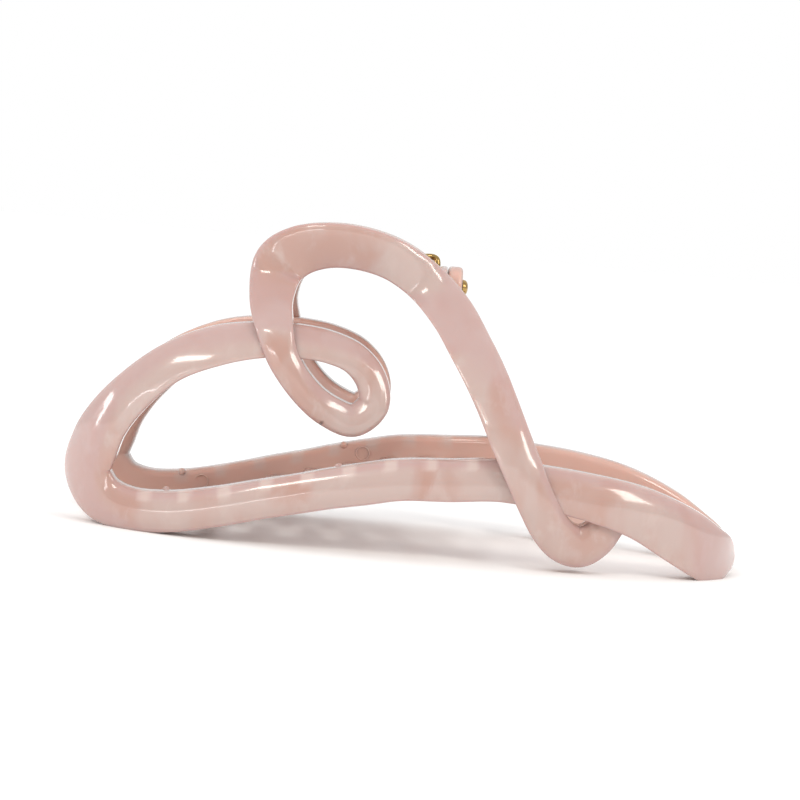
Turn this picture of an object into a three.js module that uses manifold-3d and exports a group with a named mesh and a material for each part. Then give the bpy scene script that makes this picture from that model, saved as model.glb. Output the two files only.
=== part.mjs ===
// Claw clip: two looped ribbon jaws on a short pin hinge with a wire spring.
// Millimetres, +Z up, front jaw towards -Y, hinge line along X.
import * as THREE from 'three';
import { mergeVertices } from 'three/addons/utils/BufferGeometryUtils.js';
import Module from 'manifold-3d';

const wasm = await Module();
wasm.setup();
const { Manifold, Mesh } = wasm;

// ---------------------------------------------------------------- sizes
const CLIP_LENGTH = 111.4; // ribbon ends, left to right
const CLIP_HEIGHT = 52.6; // table to the top of the upper loop
const JAW_DEPTH = 23.8; // mid-plane to the outside of the bar
const HANDLE_FLARE = 4.6; // how far the upper loop leans out above the hinge

const RIBBON_WIDTH = 6.8; // face of the bar
const RIBBON_THICKNESS = 5.6;
const SHOULDER_RADIUS = 1.9; // rounding of the outer edges
const FACE_CROWN = 0.45; // rise of the face over its edges
const BACK_CHAMFER = 0.5; // small break of the inner edges
const CROSSING_LIFT = 1.0; // over and under strands step apart by this much
const JAW_GAP = 0.4; // between the closed tails
const FOOT_TRIM = 0.25; // flats that the clip stands on

const TOOTH_COUNT = 9; // front jaw, the rear jaw has one fewer
const TOOTH_PITCH = 6.45;
const TOOTH_ROOT = 4.1; // along the bar
const TOOTH_TIP = 2.1;
const TOOTH_HEIGHT = 2.8; // at the root
const TOOTH_TIP_HEIGHT = 1.8;
const TOOTH_OVERLAP = 1.4; // past the mid-plane, between the other jaw's teeth
const TOOTH_DROP = 0.9; // tip below root
const TOOTH_LIFT = 0.1; // root above the bar's lower edge

const PIN_RADIUS = 0.9;
const PIN_HEAD_RADIUS = 1.35;
const PIN_HEAD_HEIGHT = 1.0;
const PIN_TAIL_RADIUS = 1.15; // the hidden, left end
const PIN_CLEARANCE = 0.06; // running fit in the front jaw's ears
const PIN_SEAT = 0.02; // rear jaw's ears grip the pin
const WIRE_RADIUS = 0.5;
const COIL_TURNS = 1.5;
const COIL_CLEARANCE = 0.3; // wire over pin
const LEG_RISE = 4.6; // spring legs above the hinge line
const LEG_HOOK = 4.6; // length of the bent ends
const HOOK_GAP = 0.85; // bent ends to the ribbon behind them
const SIDE_GAP = 0.1; // between neighbours along the pin
const EAR_RADIUS = 3.3;
const EAR_CLEARANCE = 0.35; // ear to the other jaw's ribbon
const SMALL_EAR = 0.8; // thickness of each left ear
const FRONT_EAR = 1.1; // right ear of the front jaw
const REAR_EAR = 2.5; // right ear of the rear jaw
const SMALL_EAR_RADIUS = 2.05;

// ---------------------------------------------------------------- the shell
// Shares of length (from the middle) and of height (from the table).
const HINGE_X = 0.03;
const HINGE_Z = 0.824;
const LEFT_END = -0.51; // where the jaw's plan outline reaches the mid-plane
const RIGHT_END = 0.5;
const TAIL_REACH = 0.95; // path points over which the tail's round end closes
const PLAN_EXPONENT = 2.6;

// Depth by height: 0 at the hinge depth, 1 at the full jaw depth.
const BULGE = [
  [-0.10, 0.84], [0.06, 0.94], [0.21, 1.0], [0.32, 1.0], [0.44, 0.91],
  [0.55, 0.74], [0.65, 0.52], [0.72, 0.29], [0.78, 0.1], [HINGE_Z, 0.0],
];

// Height above the hinge against the share of the handle's flare.
const FLARE = [[HINGE_Z, 0], [0.89, 0.09], [0.95, 0.39], [1.05, 0.9]];

const hingeDepth = EAR_RADIUS + EAR_CLEARANCE + RIBBON_THICKNESS;
const hingeX = HINGE_X * CLIP_LENGTH;
const hingeZ = HINGE_Z * CLIP_HEIGHT;

function interpolate(table, at) {
  if (at <= table[0][0]) return table[0][1];
  for (let i = 1; i < table.length; i += 1) {
    const [x1, y1] = table[i];
    const [x0, y0] = table[i - 1];
    if (at <= x1) return y0 + ((y1 - y0) * (at - x0)) / (x1 - x0);
  }
  return table[table.length - 1][1];
}

// The whole jaw lies on one bowed shell, and this is its outer depth.
function shellDepth(x, z) {
  const level = z / CLIP_HEIGHT;
  const bulge = (JAW_DEPTH - hingeDepth) * interpolate(BULGE, level);
  const flare = HANDLE_FLARE * interpolate(FLARE, level);
  const profile = hingeDepth + (level < HINGE_Z ? bulge : flare);
  const end = (x < 0 ? LEFT_END : RIGHT_END) * CLIP_LENGTH;
  const along = Math.min(1, Math.abs(x / end));
  return profile * (1 - along ** PLAN_EXPONENT) ** (1 / PLAN_EXPONENT);
}

// The ribbon keeps this much depth where the shell runs out at the tail.
function ribbonDepth(x, z) {
  return Math.max(shellDepth(x, z), JAW_GAP / 2 + RIBBON_THICKNESS);
}

// ---------------------------------------------------------------- the ribbon's path
// [length share, height share, width over RIBBON_WIDTH, lift], tail tip first.
const PATH = [
  [0.4963, 0.0295, 1.25, 0], [0.4526, 0.0805, 1.31, 0], [0.4046, 0.1396, 1.37, 0],
  [0.338, 0.2037, 1.22, 0], [0.2662, 0.2398, 1.08, 0], [0.1919, 0.2585, 1, -1],
  [0.1337, 0.2679, 0.97, -1], [0.0614, 0.2564, 0.97, 0], [-0.0087, 0.2446, 0.95, 0],
  [-0.0596, 0.2209, 0.95, 0], [-0.1074, 0.1974, 0.92, 0], [-0.1553, 0.1697, 0.9, 0],
  [-0.2031, 0.1438, 0.9, 0], [-0.2637, 0.1073, 0.92, 0], [-0.336, 0.0728, 0.96, 0],
  [-0.397, 0.0647, 1.03, 0], [-0.4399, 0.0896, 1.18, 0], [-0.4637, 0.161, 1.24, 0],
  [-0.4552, 0.2481, 1.25, 0], [-0.4398, 0.3228, 1.14, 0], [-0.407, 0.417, 1.03, 0],
  [-0.3527, 0.5226, 0.94, 0], [-0.2876, 0.5879, 0.93, -0.3], [-0.2273, 0.6159, 0.83, -1],
  [-0.1729, 0.6219, 0.78, -2], [-0.1263, 0.6115, 0.74, -3.5], [-0.0885, 0.581, 0.72, -5],
  [-0.0629, 0.5208, 0.74, -6.5], [-0.0571, 0.4491, 0.76, -7.5], [-0.0832, 0.3963, 0.76, -7.5],
  [-0.12, 0.4177, 0.74, -6.5], [-0.1551, 0.472, 0.7, -4], [-0.1904, 0.565, 0.74, -1],
  [-0.208, 0.6585, 0.88, 1], [-0.2189, 0.7498, 1.06, 0.3], [-0.2158, 0.8554, 1.16, 0],
  [-0.1857, 0.9037, 1.1, 0], [-0.1415, 0.9201, 1.08, 0], [-0.0931, 0.9186, 1.03, 0],
  [-0.0434, 0.8919, 1.01, 0], [0.0035, 0.8332, 1.02, 0], [0.0443, 0.7496, 1.05, 0],
  [0.0748, 0.656, 1.04, 0], [0.0992, 0.5737, 1.02, 0], [0.1212, 0.4868, 0.98, 0.2],
  [0.1423, 0.395, 0.97, 1], [0.164, 0.3073, 0.94, 1], [0.1857, 0.2209, 0.92, 1],
  [0.2127, 0.135, 0.95, 0.3], [0.234, 0.0977, 0.98, -0.2], [0.2573, 0.0879, 0.98, -0.7],
  [0.2786, 0.1133, 0.9, -1], [0.2965, 0.1652, 0.81, -1.3],
];
const BAR_SPAN = [6, 14]; // path points between which the teeth stand
const CURL_POINT = 29; // the first strand ends in the middle of the curl
const LIMB_POINT = 43; // the second strand ends on the way down
const STEPS = 3; // sections to each path point
const DIRECTION_SPAN = 0.45; // path points to each side, so that inner edges of bends stay round
const SLOPE_STEP = 1.5; // the shell's slope is taken this far to each side
const STEEPEST = 1.2;

const points = [];
const widths = [];
for (const [share, level, width, lift] of PATH) {
  const x = share * CLIP_LENGTH;
  const z = level * CLIP_HEIGHT;
  const middle = ribbonDepth(x, z) - RIBBON_THICKNESS / 2 + lift * CROSSING_LIFT;
  points.push(new THREE.Vector3(x, -middle, z));
  widths.push(width * RIBBON_WIDTH);
}
const path = new THREE.CatmullRomCurve3(points);

function ribbonSection(width, thickness) {
  const h = width / 2;
  const t = thickness / 2;
  const r = Math.min(SHOULDER_RADIUS, h * 0.8, thickness * 0.6);
  const e = Math.min(BACK_CHAMFER, h * 0.3);
  const side = [[h - e, -t], [h, e - t]];
  for (const turn of [0, 30, 60, 90]) {
    const a = THREE.MathUtils.degToRad(turn);
    side.push([h - r + r * Math.cos(a), t - FACE_CROWN - r + r * Math.sin(a)]);
  }
  const other = side.map(([u, v]) => [-u, v]).reverse();
  return [...side, [0, t], ...other];
}

// Position, directions and section at a place counted in path points. The mould
// opens along Y, so the ribbon's sides are square to Y and only its face and back
// follow the slope of the shell.
function ribbonAt(place, scale = 1) {
  const last = PATH.length - 1;
  const at = THREE.MathUtils.clamp(place / last, 0, 1);
  const centre = path.getPoint(at);
  const ahead = path.getPoint(Math.min(1, at + DIRECTION_SPAN / last));
  const behind = path.getPoint(Math.max(0, at - DIRECTION_SPAN / last));
  const along = ahead.sub(behind).setY(0).normalize();
  const out = new THREE.Vector3(0, -1, 0);
  const across = new THREE.Vector3(along.z, 0, -along.x);
  const beside = (step) => ribbonDepth(centre.x + step * across.x, centre.z + step * across.z);
  const slope = (beside(SLOPE_STEP) - beside(-SLOPE_STEP)) / (2 * SLOPE_STEP);
  across.y = -THREE.MathUtils.clamp(slope, -STEEPEST, STEEPEST);
  const i = Math.min(last - 1, Math.floor(place));
  const width = THREE.MathUtils.lerp(widths[i], widths[i + 1], place - i);
  const section = ribbonSection(width * scale, RIBBON_THICKNESS);
  return { centre, along, out, across, section, width };
}

function place({ centre, across, out }, [u, v]) {
  return centre.clone().addScaledVector(across, u).addScaledVector(out, v);
}

// ---------------------------------------------------------------- solids
function solidFrom(vertices, triangles) {
  const vertProperties = new Float32Array(vertices.flatMap((p) => [p.x, p.y, p.z]));
  const make = (tris) => new Manifold(
    new Mesh({ numProp: 3, vertProperties, triVerts: new Uint32Array(tris.flat()) }),
  );
  const solid = make(triangles);
  return solid.volume() > 0 ? solid : make(triangles.map(([a, b, c]) => [a, c, b]));
}

// Joins rings of points into one closed body with a flat cap at each end.
function loft(rings) {
  const n = rings[0].length;
  const vertices = rings.flat();
  const triangles = [];
  for (let i = 0; i + 1 < rings.length; i += 1) {
    for (let k = 0; k < n; k += 1) {
      const a = i * n + k;
      const b = i * n + ((k + 1) % n);
      triangles.push([a, b, a + n], [b, b + n, a + n]);
    }
  }
  for (const [ring, first, flip] of [[rings[0], 0, true], [rings.at(-1), (rings.length - 1) * n, false]]) {
    const middle = new THREE.Vector3();
    ring.forEach((p) => middle.addScaledVector(p, 1 / n));
    const hub = vertices.push(middle) - 1;
    for (let k = 0; k < n; k += 1) {
      const a = first + k;
      const b = first + ((k + 1) % n);
      triangles.push(flip ? [b, a, hub] : [a, b, hub]);
    }
  }
  return solidFrom(vertices, triangles);
}

function solidOf(geometry) {
  geometry.deleteAttribute('normal');
  geometry.deleteAttribute('uv');
  const merged = mergeVertices(geometry, 1e-5);
  const at = merged.attributes.position;
  const vertices = Array.from({ length: at.count }, (_, i) => new THREE.Vector3().fromBufferAttribute(at, i));
  const triangles = [];
  for (let i = 0; i < merged.index.count; i += 3) {
    const [a, b, c] = [0, 1, 2].map((k) => merged.index.getX(i + k));
    if (a !== b && b !== c && c !== a) triangles.push([a, b, c]);
  }
  return solidFrom(vertices, triangles);
}

function block(low, high) {
  const size = new THREE.Vector3().subVectors(high, low);
  const geometry = new THREE.BoxGeometry(size.x, size.y, size.z);
  geometry.translate(...low.clone().addScaledVector(size, 0.5).toArray());
  return solidOf(geometry);
}

function rod(radius, x0, x1, sides = 32) {
  const geometry = new THREE.CylinderGeometry(radius, radius, x1 - x0, sides);
  geometry.rotateZ(Math.PI / 2);
  geometry.translate((x0 + x1) / 2, 0, hingeZ);
  return solidOf(geometry);
}

function strand(from, to, roundStart) {
  const rings = [];
  const ringAt = (where, scale) => {
    const at = ribbonAt(where, scale);
    return at.section.map((p) => place(at, p));
  };
  let start = from;
  if (roundStart) {
    // The tail closes over its last few millimetres in a round end.
    for (const part of [0.006, 0.04, 0.12, 0.25, 0.42, 0.62, 0.82]) {
      rings.push(ringAt(from + part * TAIL_REACH, Math.sqrt(1 - (1 - part) ** 2)));
    }
    start = from + TAIL_REACH;
    rings.push(ringAt(start, 1));
  } else {
    rings.push(ringAt(start, 1));
  }
  for (let i = Math.floor(start * STEPS) + 1; i <= to * STEPS; i += 1) rings.push(ringAt(i / STEPS, 1));
  return loft(rings);
}

const big = 200;
const tail = strand(0, CURL_POINT, true);
const upper = strand(CURL_POINT, LIMB_POINT, false);
const lower = strand(LIMB_POINT, PATH.length - 1, false);
const ribbon = tail.add(upper).add(lower).intersect(
  block(new THREE.Vector3(-big, -big, -big), new THREE.Vector3(big, -JAW_GAP / 2, big)),
);

// A tooth reaches in from the bar's back, tapering and dropping a little.
const TOOTH_OUTLINE = [
  [1, -0.5], [1, 0.5], [0.5, 1], [-0.5, 1], [-1, 0.5], [-1, -0.5], [-0.5, -1], [0.5, -1],
];
function tooth(x) {
  let where = BAR_SPAN[0];
  while (where < BAR_SPAN[1] + 2 && ribbonAt(where).centre.x > x) where += 0.02;
  const { centre, width } = ribbonAt(where);
  const startY = centre.y;
  const endY = TOOTH_OVERLAP;
  const rings = [];
  for (const part of [0, 0.35, 0.6, 0.82, 0.95, 1]) {
    const tip = part > 0.9 ? 1 - 0.45 * ((part - 0.9) / 0.1) : 1;
    const half = (tip * THREE.MathUtils.lerp(TOOTH_ROOT, TOOTH_TIP, part)) / 2;
    const tall = (tip * THREE.MathUtils.lerp(TOOTH_HEIGHT, TOOTH_TIP_HEIGHT, part)) / 2;
    const z = centre.z - width / 2 + TOOTH_HEIGHT / 2 + TOOTH_LIFT - TOOTH_DROP * part ** 2;
    const y = THREE.MathUtils.lerp(startY, endY, part);
    const ring = [];
    for (const [u, v] of TOOTH_OUTLINE) {
      ring.push(new THREE.Vector3(x + u * half, y, z + v * tall));
    }
    rings.push(ring);
  }
  return loft(rings);
}

// Ears stand across the pin and run back into the ribbon behind them.
function ear(x0, x1, radius, side) {
  const middle = (x0 + x1) / 2;
  const foot = shellDepth(middle, hingeZ) - RIBBON_THICKNESS * 0.62;
  const drop = Math.min(radius, 3.1);
  const shape = new THREE.Shape();
  shape.moveTo(side * foot, -drop);
  shape.lineTo(0, -radius);
  const turns = 12;
  for (let k = 1; k <= turns; k += 1) {
    const a = -Math.PI / 2 + (Math.PI * k) / turns;
    shape.lineTo(-side * radius * Math.cos(a), radius * Math.sin(a));
  }
  shape.lineTo(side * foot * 0.55, radius * 0.86);
  shape.lineTo(side * foot, radius * 0.3);
  shape.closePath();
  const geometry = new THREE.ExtrudeGeometry(shape, { depth: x1 - x0, bevelEnabled: false });
  const turned = new THREE.Matrix4().makeBasis(
    new THREE.Vector3(0, 1, 0), new THREE.Vector3(0, 0, 1), new THREE.Vector3(1, 0, 0),
  );
  geometry.applyMatrix4(turned);
  geometry.translate(x0, 0, hingeZ);
  return solidOf(geometry);
}

// Stack along the pin: rear ear, front ear, coil, front ear, rear ear.
const coilWidth = (COIL_TURNS * 2.08 + 2) * WIRE_RADIUS;
const coilLeft = hingeX - 3.3;
const coilRight = coilLeft + coilWidth;
const frontLeft = [coilLeft - SIDE_GAP - SMALL_EAR, coilLeft - SIDE_GAP];
const rearLeft = [frontLeft[0] - SIDE_GAP - SMALL_EAR, frontLeft[0] - SIDE_GAP];
const frontRight = [coilRight + SIDE_GAP, coilRight + SIDE_GAP + FRONT_EAR];
const rearRight = [frontRight[1] + SIDE_GAP, frontRight[1] + SIDE_GAP + REAR_EAR];

const teethLeft = -0.343 * CLIP_LENGTH;
function jaw(body, side, teeth, firstTooth, ears, bore) {
  let solid = body;
  for (let i = 0; i < teeth; i += 1) {
    const one = tooth(firstTooth + i * TOOTH_PITCH);
    solid = solid.add(side < 0 ? one : one.mirror([0, 1, 0]));
  }
  for (const [x0, x1, radius] of ears) solid = solid.add(ear(x0, x1, radius, side));
  return solid.subtract(rod(bore, rearLeft[0] - 1, rearRight[1] + 1));
}

const front = jaw(ribbon, -1, TOOTH_COUNT, teethLeft, [
  [...frontLeft, SMALL_EAR_RADIUS], [...frontRight, EAR_RADIUS],
], PIN_RADIUS + PIN_CLEARANCE);
const rear = jaw(ribbon.mirror([0, 1, 0]), 1, TOOTH_COUNT - 1, teethLeft + TOOTH_PITCH / 2, [
  [...rearLeft, SMALL_EAR_RADIUS], [...rearRight, EAR_RADIUS + 0.1],
], PIN_RADIUS + PIN_SEAT);

// Both feet are cut level, at the higher of the left bend's and the tail's lowest points.
function lowest(solid, fromX, toX) {
  const slab = block(new THREE.Vector3(fromX, -big, -big), new THREE.Vector3(toX, big, big));
  return solid.intersect(slab).boundingBox().min[2];
}
const table = FOOT_TRIM + Math.max(
  lowest(ribbon, -big, -0.2 * CLIP_LENGTH),
  lowest(ribbon, 0.37 * CLIP_LENGTH, big),
);
const above = block(new THREE.Vector3(-big, -big, table), new THREE.Vector3(big, big, big));

// ---------------------------------------------------------------- pin
function pinGeometry() {
  const from = rearLeft[0] - SIDE_GAP / 2;
  const to = rearRight[1] + SIDE_GAP / 2;
  const dome = (radius) => [0, 0.35, 0.7, 0.9].map((s) => [
    radius * Math.sqrt(1 - s * s), PIN_HEAD_HEIGHT * (0.3 + 0.7 * s),
  ]);
  const profile = [
    new THREE.Vector2(0, from - PIN_HEAD_HEIGHT),
    ...dome(PIN_TAIL_RADIUS).map(([r, h]) => new THREE.Vector2(r, from - h)).reverse(),
    new THREE.Vector2(PIN_TAIL_RADIUS, from),
    new THREE.Vector2(PIN_RADIUS, from),
    new THREE.Vector2(PIN_RADIUS, to),
    new THREE.Vector2(PIN_HEAD_RADIUS, to),
    ...dome(PIN_HEAD_RADIUS).map(([r, h]) => new THREE.Vector2(r, to + h)),
    new THREE.Vector2(0, to + PIN_HEAD_HEIGHT),
  ];
  const geometry = new THREE.LatheGeometry(profile, 32);
  geometry.rotateZ(-Math.PI / 2);
  geometry.translate(0, 0, hingeZ);
  return geometry;
}

// ---------------------------------------------------------------- spring
function springSolid() {
  const coilRadius = PIN_RADIUS + COIL_CLEARANCE + WIRE_RADIUS;
  const first = coilRight - WIRE_RADIUS;
  const last = coilLeft + WIRE_RADIUS;
  const legDepth = (x, rise) => shellDepth(x, hingeZ + rise) - RIBBON_THICKNESS - WIRE_RADIUS - HOOK_GAP;
  const leg = (x, side) => {
    const hook = x - LEG_HOOK;
    const top = legDepth(hook, LEG_RISE - 0.5);
    return [
      new THREE.Vector3(hook, side * top, hingeZ + LEG_RISE - 0.5),
      new THREE.Vector3(hook + LEG_HOOK * 0.45, side * (top - 0.1), hingeZ + LEG_RISE - 0.15),
      new THREE.Vector3(x - 1.1, side * (top - 0.4), hingeZ + LEG_RISE),
      new THREE.Vector3(x - 0.25, side * (top - 0.55), hingeZ + LEG_RISE - 0.3),
      new THREE.Vector3(x, side * (top - 0.8), hingeZ + LEG_RISE - 1.15),
      new THREE.Vector3(x, side * (coilRadius + 0.45), hingeZ + 2),
    ];
  };
  const coil = [];
  const steps = Math.round(COIL_TURNS * 12);
  for (let i = 0; i <= steps; i += 1) {
    const turn = (i / steps) * COIL_TURNS * 2 * Math.PI;
    coil.push(new THREE.Vector3(
      THREE.MathUtils.lerp(first, last, i / steps),
      coilRadius * Math.cos(turn),
      hingeZ - coilRadius * Math.sin(turn),
    ));
  }
  const wire = [...leg(first, 1), ...coil, ...leg(last, -1).reverse()];
  const curve = new THREE.CatmullRomCurve3(wire);
  const rings = [];
  let across = new THREE.Vector3(0, 0, 1);
  const count = wire.length * 2;
  for (let i = 0; i <= count; i += 1) {
    const at = i / count;
    const centre = curve.getPoint(at);
    const along = curve.getTangent(at);
    across.addScaledVector(along, -along.dot(across)).normalize();
    const up = new THREE.Vector3().crossVectors(along, across);
    const ring = [];
    for (let k = 0; k < 10; k += 1) {
      const a = (k / 10) * 2 * Math.PI;
      ring.push(centre.clone()
        .addScaledVector(across, WIRE_RADIUS * Math.cos(a))
        .addScaledVector(up, WIRE_RADIUS * Math.sin(a)));
    }
    rings.push(ring);
    across = across.clone();
  }
  return loft(rings);
}

// ---------------------------------------------------------------- assembly
function geometryOf(solid) {
  const mesh = solid.getMesh();
  const geometry = new THREE.BufferGeometry();
  const positions = new Float32Array(mesh.numVert * 3);
  for (let i = 0; i < mesh.numVert; i += 1) {
    for (let k = 0; k < 3; k += 1) positions[i * 3 + k] = mesh.vertProperties[i * mesh.numProp + k];
  }
  geometry.setAttribute('position', new THREE.BufferAttribute(positions, 3));
  geometry.setIndex(new THREE.BufferAttribute(new Uint32Array(mesh.triVerts), 1));
  geometry.computeVertexNormals();
  return geometry;
}

const resin = new THREE.MeshStandardMaterial({ color: 0xd4b0a4, roughness: 0.22, metalness: 0 });
resin.name = 'rose_resin';
const gold = new THREE.MeshStandardMaterial({ color: 0xab8561, roughness: 0.28, metalness: 1 });
gold.name = 'gold_wire';

const group = new THREE.Group();
function addPart(name, geometry, material) {
  geometry.translate(0, 0, -table);
  const mesh = new THREE.Mesh(geometry, material);
  mesh.name = name;
  group.add(mesh);
}

addPart('front_jaw', geometryOf(front.intersect(above)), resin);
addPart('rear_jaw', geometryOf(rear.intersect(above)), resin);
addPart('hinge_pin', pinGeometry(), gold);
addPart('torsion_spring', geometryOf(springSolid()), gold);

export default group;
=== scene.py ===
import math

import bmesh
import bpy
import numpy as np
from mathutils import Matrix, Vector


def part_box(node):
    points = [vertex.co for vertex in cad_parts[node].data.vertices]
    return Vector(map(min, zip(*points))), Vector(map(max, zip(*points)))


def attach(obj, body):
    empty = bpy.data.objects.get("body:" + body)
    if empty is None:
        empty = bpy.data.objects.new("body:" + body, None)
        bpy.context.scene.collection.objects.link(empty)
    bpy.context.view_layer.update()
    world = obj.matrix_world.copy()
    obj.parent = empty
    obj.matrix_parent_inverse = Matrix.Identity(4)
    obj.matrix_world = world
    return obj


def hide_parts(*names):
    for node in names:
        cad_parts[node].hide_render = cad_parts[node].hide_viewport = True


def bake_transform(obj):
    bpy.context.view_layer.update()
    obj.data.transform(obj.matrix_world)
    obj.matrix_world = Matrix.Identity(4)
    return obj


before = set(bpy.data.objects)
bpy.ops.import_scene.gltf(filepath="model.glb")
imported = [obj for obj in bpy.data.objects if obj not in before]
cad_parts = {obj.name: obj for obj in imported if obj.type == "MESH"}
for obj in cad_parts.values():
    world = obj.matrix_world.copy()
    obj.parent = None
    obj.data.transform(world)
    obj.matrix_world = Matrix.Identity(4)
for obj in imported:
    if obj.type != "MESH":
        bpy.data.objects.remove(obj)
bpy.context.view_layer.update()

# ---------------------------------------------------------------- rose resin
# Both jaws are injection moulded from the same cloudy rose acetate: a milky
# beige base with soft pinker clouds, polished to a wet gloss.
MILKY = (0.475, 0.356, 0.322, 1)
CLOUD = (0.440, 0.270, 0.225, 1)
PALE = (0.52, 0.415, 0.385, 1)
# Painted shade: the deeper salmon of the sides that face the other jaw, which lie in shadow.
INWARD_SHADE = (0.63, 0.405, 0.34, 1)
# Painted shade: the darker mauve of the shoulder bands, which turn away from the light.
SHOULDER_SHADE = (0.46, 0.300, 0.285, 1)
# Painted light: the paler glow where light shines through the resin between the tooth roots.
SHINE_THROUGH_PALE = (0.60, 0.49, 0.455, 1)


def node(tree, kind, links=None, **settings):
    """Adds a node, applies its settings, then links or sets its inputs."""
    made = tree.nodes.new(kind)
    for name, value in settings.items():
        setattr(made, name, value)
    for socket, value in (links or {}).items():
        if isinstance(value, bpy.types.NodeSocket):
            tree.links.new(value, made.inputs[socket])
        else:
            made.inputs[socket].default_value = value
    return made


def group_tree(name, kind, inputs, outputs):
    """A node group with named inputs (name, type, default) and outputs."""
    tree = bpy.data.node_groups.new(name, kind)
    for label, socket, default in inputs:
        made = tree.interface.new_socket(label, in_out="INPUT", socket_type=socket)
        if default is not None:
            made.default_value = default
    for label, socket in outputs:
        tree.interface.new_socket(label, in_out="OUTPUT", socket_type=socket)
    return tree, tree.nodes.new("NodeGroupInput"), tree.nodes.new("NodeGroupOutput")


def math_node(tree, operation, *values):
    """One sum, product or other operation on plain numbers; returns its result."""
    return node(tree, "ShaderNodeMath", dict(enumerate(values)), operation=operation).outputs[0]


def colour_mix(tree, share, first, second):
    """Goes from the first colour to the second as the share goes from 0 to 1."""
    return node(tree, "ShaderNodeMix", {0: share, 6: first, 7: second}, data_type="RGBA").outputs[2]


def cloud_group():
    """Soft clouds of a second colour in a milky resin, at two sizes."""
    tree, given, out = group_tree(
        "resin_clouds", "ShaderNodeTree",
        [("Vector", "NodeSocketVector", None), ("Milky", "NodeSocketColor", (1, 1, 1, 1)),
         ("Cloud", "NodeSocketColor", (1, 1, 1, 1)), ("Pale", "NodeSocketColor", (1, 1, 1, 1)),
         ("Cloud Scale", "NodeSocketFloat", 100.0)],
        [("Color", "NodeSocketColor")])
    big = node(tree, "ShaderNodeTexNoise",
               {"Vector": given.outputs["Vector"], "Scale": given.outputs["Cloud Scale"],
                "Detail": 2.5, "Roughness": 0.42, "Distortion": 0.7})
    small = node(tree, "ShaderNodeTexNoise",
                 {"Vector": given.outputs["Vector"],
                  "Scale": math_node(tree, "MULTIPLY", given.outputs["Cloud Scale"], 3.1),
                  "Detail": 4.0, "Roughness": 0.55, "Distortion": 0.3})
    clouds = node(tree, "ShaderNodeMapRange",
                  {"Value": big.outputs["Fac"], "From Min": 0.44, "From Max": 0.68},
                  interpolation_type="SMOOTHSTEP").outputs[0]
    wisps = node(tree, "ShaderNodeMapRange",
                 {"Value": small.outputs["Fac"], "From Min": 0.50, "From Max": 0.72, "To Max": 0.45},
                 interpolation_type="SMOOTHSTEP").outputs[0]
    blushed = colour_mix(tree, clouds, given.outputs["Milky"], given.outputs["Cloud"])
    wisped = colour_mix(tree, wisps, blushed, given.outputs["Pale"])
    tree.links.new(wisped, out.inputs["Color"])
    return tree


def polish_group():
    """Fine unevenness of a polished surface: low waves, faint scuffs and their roughness."""
    tree, given, out = group_tree(
        "hand_polish", "ShaderNodeTree",
        [("Vector", "NodeSocketVector", None), ("Wave Scale", "NodeSocketFloat", 300.0),
         ("Base Roughness", "NodeSocketFloat", 0.1), ("Scuffing", "NodeSocketFloat", 0.08)],
        [("Roughness", "NodeSocketFloat"), ("Height", "NodeSocketFloat")])
    waves = node(tree, "ShaderNodeTexNoise",
                 {"Vector": given.outputs["Vector"], "Scale": given.outputs["Wave Scale"],
                  "Detail": 1.5, "Roughness": 0.4})
    scuffs = node(tree, "ShaderNodeTexNoise",
                  {"Vector": given.outputs["Vector"],
                   "Scale": math_node(tree, "MULTIPLY", given.outputs["Wave Scale"], 6.0),
                   "Detail": 5.0, "Roughness": 0.7})
    worn = node(tree, "ShaderNodeMapRange",
                {"Value": scuffs.outputs["Fac"], "From Min": 0.45, "From Max": 0.8}).outputs[0]
    rough = math_node(tree, "MULTIPLY_ADD", worn, given.outputs["Scuffing"],
                      given.outputs["Base Roughness"])
    height = math_node(tree, "MULTIPLY_ADD", scuffs.outputs["Fac"], 0.06, waves.outputs["Fac"])
    tree.links.new(rough, out.inputs["Roughness"])
    tree.links.new(height, out.inputs["Height"])
    return tree


resin_clouds = cloud_group()
hand_polish = polish_group()


def stored(tree, name):
    """A value that the mesh carries at each of its points."""
    return node(tree, "ShaderNodeAttribute", attribute_name=name).outputs["Fac"]


def new_material(name):
    """An empty material with its node tree and its principled shader."""
    made = bpy.data.materials.new(name)
    made.use_nodes = True
    return made, made.node_tree, made.node_tree.nodes["Principled BSDF"]


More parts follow.
